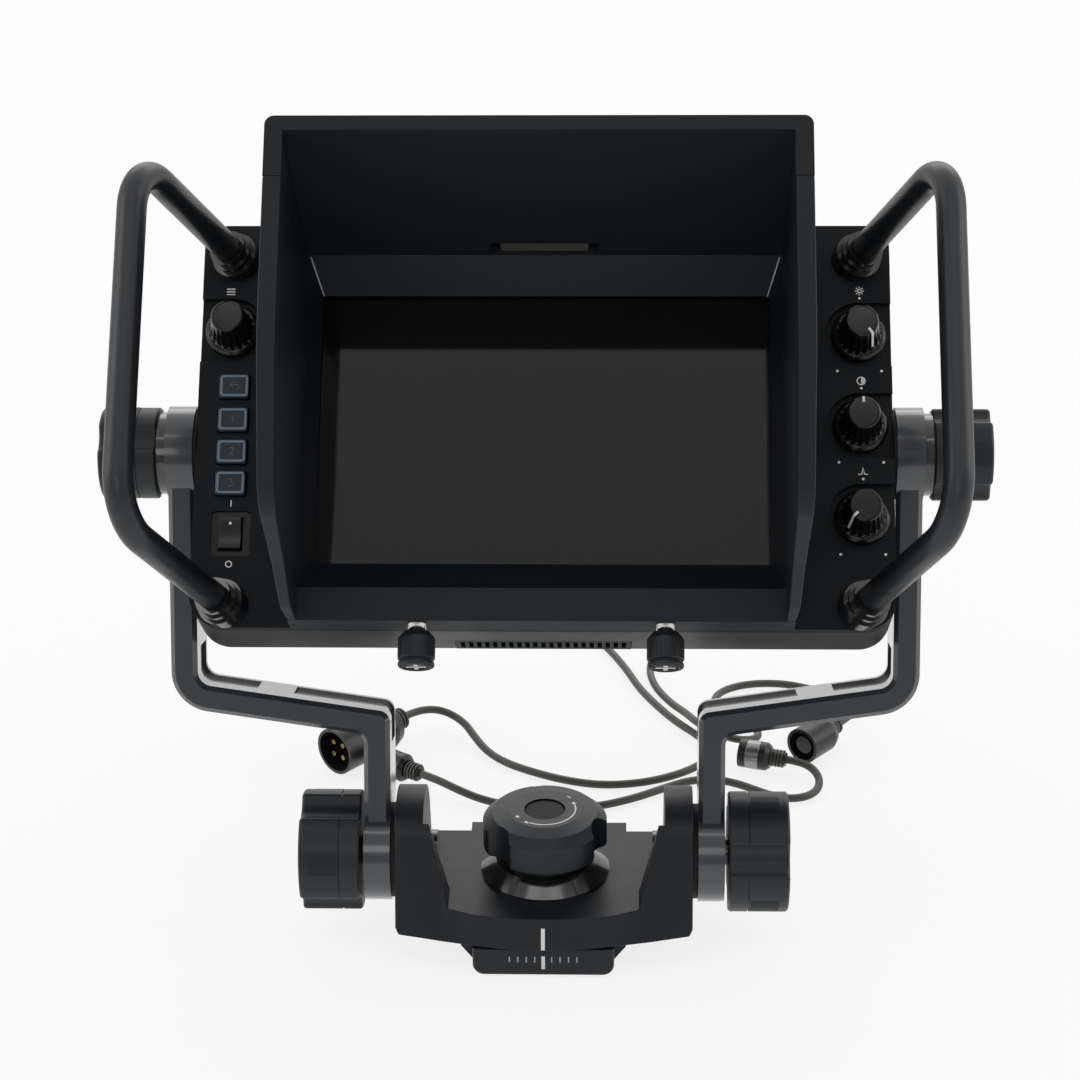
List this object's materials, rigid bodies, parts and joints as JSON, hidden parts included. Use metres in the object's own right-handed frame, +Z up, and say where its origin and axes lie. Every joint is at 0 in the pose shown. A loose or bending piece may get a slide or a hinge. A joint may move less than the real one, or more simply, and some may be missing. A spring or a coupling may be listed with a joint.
{
  "type": "studio camera viewfinder",
  "caption": "Hooded flat studio camera viewfinder with tube handles, dials and buttons, held in cranked arms on a panning yoke with clamp knobs and loose leads.",
  "frame": {"origin": "centre of the threaded socket at the base's underside, on the pan axis", "axes": "+X to the operator's right, +Y away from the operator, +Z up"},
  "size_m": [0.2998, 0.3098, 0.2886],
  "materials": {
    "arm_metal": "satin black",
    "bronze": "oiled",
    "button_plastic": "blue grey",
    "cast_black": "black satin casting",
    "dial_plastic": "gloss black",
    "gloss_black_metal": "gloss black",
    "hood_plastic": "satin black",
    "inner_board": "matt",
    "knob_plastic": "satin black",
    "lead_rubber": "satin dark grey",
    "panel_metal": "satin black",
    "plug_metal": "black and nickel",
    "screen_glass": "gloss dark screen",
    "steel": "turned",
    "thumb_metal": "black with a bright neck",
    "tube_metal": "satin black",
    "window_plastic": "smoked grey"
  },
  "bodies": {
    "base": {"base_plate": "cast_black", "pan_spindle": "steel", "pan_washer": "bronze", "power_lead": "lead_rubber", "power_plug": "plug_metal", "power_socket": "hood_plastic", "video_lead": "lead_rubber", "video_plug_left": "plug_metal", "video_plug_right": "plug_metal"},
    "bracket": {"yoke_bracket": "cast_black", "pan_flange": "gloss_black_metal", "lower_pivot_left": "steel", "lower_pivot_right": "steel"},
    "pan_clamp": {"pan_knob": "knob_plastic", "pan_knob_cap": "knob_plastic"},
    "arms": {"arm_left": "arm_metal", "arm_right": "arm_metal", "lower_washers": "bronze", "upper_washers": "bronze"},
    "lower_clamp_left": {"lower_knob_left": "knob_plastic"},
    "lower_clamp_right": {"lower_knob_right": "knob_plastic"},
    "upper_clamp_left": {"upper_knob_left": "knob_plastic", "upper_collar_left": "gloss_black_metal"},
    "upper_clamp_right": {"upper_knob_right": "knob_plastic", "upper_collar_right": "gloss_black_metal"},
    "head": {"front_panel": "panel_metal", "rear_housing": "panel_metal", "display_panel": "inner_board", "screen_glass": "screen_glass", "main_board": "inner_board", "vent_grille": "hood_plastic", "handle_left": "tube_metal", "handle_right": "tube_metal", "handle_collars": "gloss_black_metal", "upper_pivot_left": "steel", "upper_pivot_right": "steel", "control_pots": "steel", "power_inlet": "steel", "video_inlets": "steel", "housing_screws": "steel", "switch_frame": "hood_plastic"},
    "hood": {"bezel_frame": "hood_plastic", "hood_top": "hood_plastic", "hood_side_left": "hood_plastic", "hood_side_right": "hood_plastic", "hood_window": "window_plastic"},
    "hood_screw_left": {"thumbscrew_left": "thumb_metal"},
    "hood_screw_right": {"thumbscrew_right": "thumb_metal"},
    "menu_dial": {"menu_knob": "dial_plastic"},
    "brightness_dial": {"brightness_knob": "dial_plastic"},
    "contrast_dial": {"contrast_knob": "dial_plastic"},
    "peaking_dial": {"peaking_knob": "dial_plastic"},
    "return_button": {"button_1": "button_plastic"},
    "key_one": {"button_2": "button_plastic"},
    "key_two": {"button_3": "button_plastic"},
    "key_three": {"button_4": "button_plastic"},
    "power_rocker": {"rocker_switch": "dial_plastic"}
  },
  "joints": [
    {"name": "pan", "type": "hinge", "parent": "base", "child": "bracket", "pos_m": [0, 0, 0], "axis": [0, 0, 1], "range_deg": [-90, 90]},
    {"name": "arm_tilt", "type": "hinge", "parent": "bracket", "child": "arms", "pos_m": [0, 0, 0.02915], "axis": [1, 0, 0], "range_deg": [-25, 40]},
    {"name": "head_tilt", "type": "hinge", "parent": "arms", "child": "head", "pos_m": [0, 0.04113, 0.16031], "axis": [1, 0, 0], "range_deg": [-30, 40]},
    {"name": "pan_clamp_turn", "type": "hinge", "parent": "base", "child": "pan_clamp", "pos_m": [0, 0, 0.03], "axis": [0, 0, 1], "range_deg": [-45, 90]},
    {"name": "lower_left_turn", "type": "hinge", "parent": "bracket", "child": "lower_clamp_left", "pos_m": [-0.07, 0, 0.02915], "axis": [1, 0, 0], "range_deg": [-90, 45]},
    {"name": "lower_right_turn", "type": "hinge", "parent": "bracket", "child": "lower_clamp_right", "pos_m": [0.07, 0, 0.02915], "axis": [1, 0, 0], "range_deg": [-45, 90]},
    {"name": "upper_left_turn", "type": "hinge", "parent": "head", "child": "upper_clamp_left", "pos_m": [-0.14, 0.04113, 0.16031], "axis": [1, 0, 0], "range_deg": [-90, 45]},
    {"name": "upper_right_turn", "type": "hinge", "parent": "head", "child": "upper_clamp_right", "pos_m": [0.14, 0.04113, 0.16031], "axis": [1, 0, 0], "range_deg": [-45, 90]},
    {"name": "hood_slide", "type": "slide", "parent": "head", "child": "hood", "axis": [0, -0.7544, 0.6565], "range_m": [0, 0.03]},
    {"name": "hood_screw_left_turn", "type": "hinge", "parent": "hood", "child": "hood_screw_left", "pos_m": [-0.0405, -0.02128, 0.12104], "axis": [0, 0.6565, 0.7544], "range_deg": [-180, 180]},
    {"name": "hood_screw_right_turn", "type": "hinge", "parent": "hood", "child": "hood_screw_right", "pos_m": [0.0405, -0.02128, 0.12104], "axis": [0, 0.6565, 0.7544], "range_deg": [-180, 180]},
    {"name": "menu_turn", "type": "hinge", "parent": "head", "child": "menu_dial", "pos_m": [-0.106, 0.05237, 0.20263], "axis": [0, 0.7544, -0.6565], "continuous": true},
    {"name": "brightness_turn", "type": "hinge", "parent": "head", "child": "brightness_dial", "pos_m": [0.1057, 0.05145, 0.20157], "axis": [0, 0.7544, -0.6565], "range_deg": [-287, 3]},
    {"name": "contrast_turn", "type": "hinge", "parent": "head", "child": "contrast_dial", "pos_m": [0.1057, 0.03038, 0.17736], "axis": [0, 0.7544, -0.6565], "range_deg": [-145, 145]},
    {"name": "peaking_turn", "type": "hinge", "parent": "head", "child": "peaking_dial", "pos_m": [0.1057, 0.0095, 0.15337], "axis": [0, 0.7544, -0.6565], "range_deg": [-11, 279]},
    {"name": "return_press", "type": "slide", "parent": "head", "child": "return_button", "axis": [0, 0.7544, -0.6565], "range_m": [0, 0.0008], "stiffness_N_per_m": 600, "springref_m": -0.001},
    {"name": "key_one_press", "type": "slide", "parent": "head", "child": "key_one", "axis": [0, 0.7544, -0.6565], "range_m": [0, 0.0008], "stiffness_N_per_m": 600, "springref_m": -0.001},
    {"name": "key_two_press", "type": "slide", "parent": "head", "child": "key_two", "axis": [0, 0.7544, -0.6565], "range_m": [0, 0.0008], "stiffness_N_per_m": 600, "springref_m": -0.001},
    {"name": "key_three_press", "type": "slide", "parent": "head", "child": "key_three", "axis": [0, 0.7544, -0.6565], "range_m": [0, 0.0008], "stiffness_N_per_m": 600, "springref_m": -0.001},
    {"name": "power_rock", "type": "hinge", "parent": "head", "child": "power_rocker", "pos_m": [-0.10385, 0.01043, 0.14408], "axis": [1, 0, 0], "range_deg": [-7, 7]}
  ]
}
